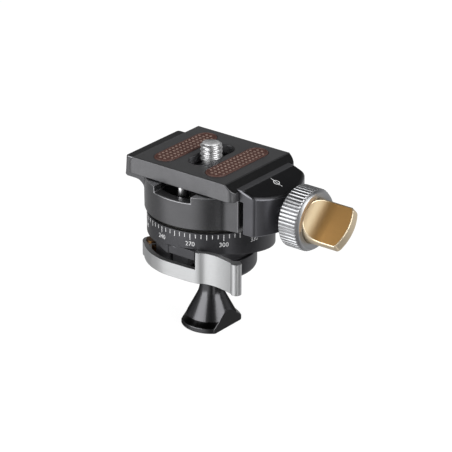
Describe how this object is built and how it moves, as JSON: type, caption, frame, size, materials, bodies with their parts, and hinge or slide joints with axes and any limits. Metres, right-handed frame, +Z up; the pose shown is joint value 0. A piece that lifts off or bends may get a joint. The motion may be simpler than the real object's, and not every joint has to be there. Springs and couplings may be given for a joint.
{
  "type": "ball head",
  "caption": "Small inverted panning ball head: dovetail plate clamp with knob on a graduated base, quick lever split collar, ball on a flared foot.",
  "frame": {"origin": "centre of the base thread's mouth on the seating face of the foot", "axes": "+Z up along the ball axis, +X towards the clamp knob, +Y away from the viewer of the picture"},
  "size_m": [0.0701, 0.0382, 0.0559],
  "materials": {
    "black_steel": "gloss black",
    "black_liner": "matt",
    "anodised_black": "fine satin black anodised",
    "anodised_grey": "satin charcoal anodised",
    "steel": "bright",
    "brass": "satin",
    "satin_aluminium": "satin",
    "gold_aluminium": "gold anodised satin",
    "brown_rubber": "dotted, matt",
    "white_slip": "smooth"
  },
  "bodies": {
    "stem": {"ball_stem": "black_steel"},
    "shield": {"dust_shield": "black_liner"},
    "cup": {"ball_cup": "black_liner"},
    "base": {"ball_housing": "anodised_black", "draw_bolt": "steel", "cam_pivot": "brass", "cam_washer": "brass", "scale_ring": "anodised_black", "ring_screws": "steel", "pan_spindle": "steel", "pan_disc": "white_slip"},
    "lever": {"lock_lever": "satin_aluminium"},
    "clamp": {"clamp_body": "anodised_black", "pan_shim": "white_slip", "guide_pins": "steel", "clamp_stud": "steel", "jaw_spring": "steel"},
    "jaw": {"movable_jaw": "anodised_black"},
    "knob": {"knob_ring": "satin_aluminium", "knob_paddle": "gold_aluminium", "knob_pin": "steel"},
    "plate": {"plate": "anodised_grey", "strip_left": "brown_rubber", "strip_right": "brown_rubber", "stop_screws": "steel"},
    "clip": {"screw_clip": "black_liner"},
    "screw": {"camera_screw": "steel"}
  },
  "joints": [
    {"name": "ball_spin", "type": "hinge", "parent": "stem", "child": "shield", "pos_m": [0, 0, 0.0234], "axis": [0, 0, 1], "continuous": true},
    {"name": "ball_tilt", "type": "hinge", "parent": "shield", "child": "cup", "pos_m": [0, 0, 0.0234], "axis": [1, 0, 0], "range_deg": [-34, 34]},
    {"name": "ball_twist", "type": "hinge", "parent": "cup", "child": "base", "pos_m": [0, 0, 0.0234], "axis": [0, 0, 1], "continuous": true},
    {"name": "pan_turn", "type": "hinge", "parent": "base", "child": "clamp", "pos_m": [0, 0, 0.0369], "axis": [0, 0, 1], "continuous": true},
    {"name": "lever_swing", "type": "hinge", "parent": "base", "child": "lever", "pos_m": [-0.01322, -0.01021, 0.02365], "axis": [0, 0, -1], "range_deg": [0, 90]},
    {"name": "jaw_slide", "type": "slide", "parent": "clamp", "child": "jaw", "axis": [1, 0, 0], "range_m": [0, 0.004], "deforming": ["jaw_spring"]},
    {"name": "knob_turn", "type": "hinge", "parent": "jaw", "child": "knob", "pos_m": [0.033, 0, 0.0419], "axis": [1, 0, 0], "range_deg": [0, 1798]},
    {"name": "plate_slide", "type": "slide", "parent": "clamp", "child": "plate", "axis": [0, 1, 0], "range_m": [-0.0012, 0.0012]},
    {"name": "screw_slide", "type": "slide", "parent": "plate", "child": "clip", "axis": [0, 1, 0], "range_m": [-0.005, 0.005]},
    {"name": "screw_turn", "type": "hinge", "parent": "clip", "child": "screw", "pos_m": [0, 0, 0.05], "axis": [0, 0, 1], "continuous": true}
  ],
  "couplings": [
    {"joint": "jaw_slide", "follows": "knob_turn", "m_per_rad": 0.00012732}
  ]
}
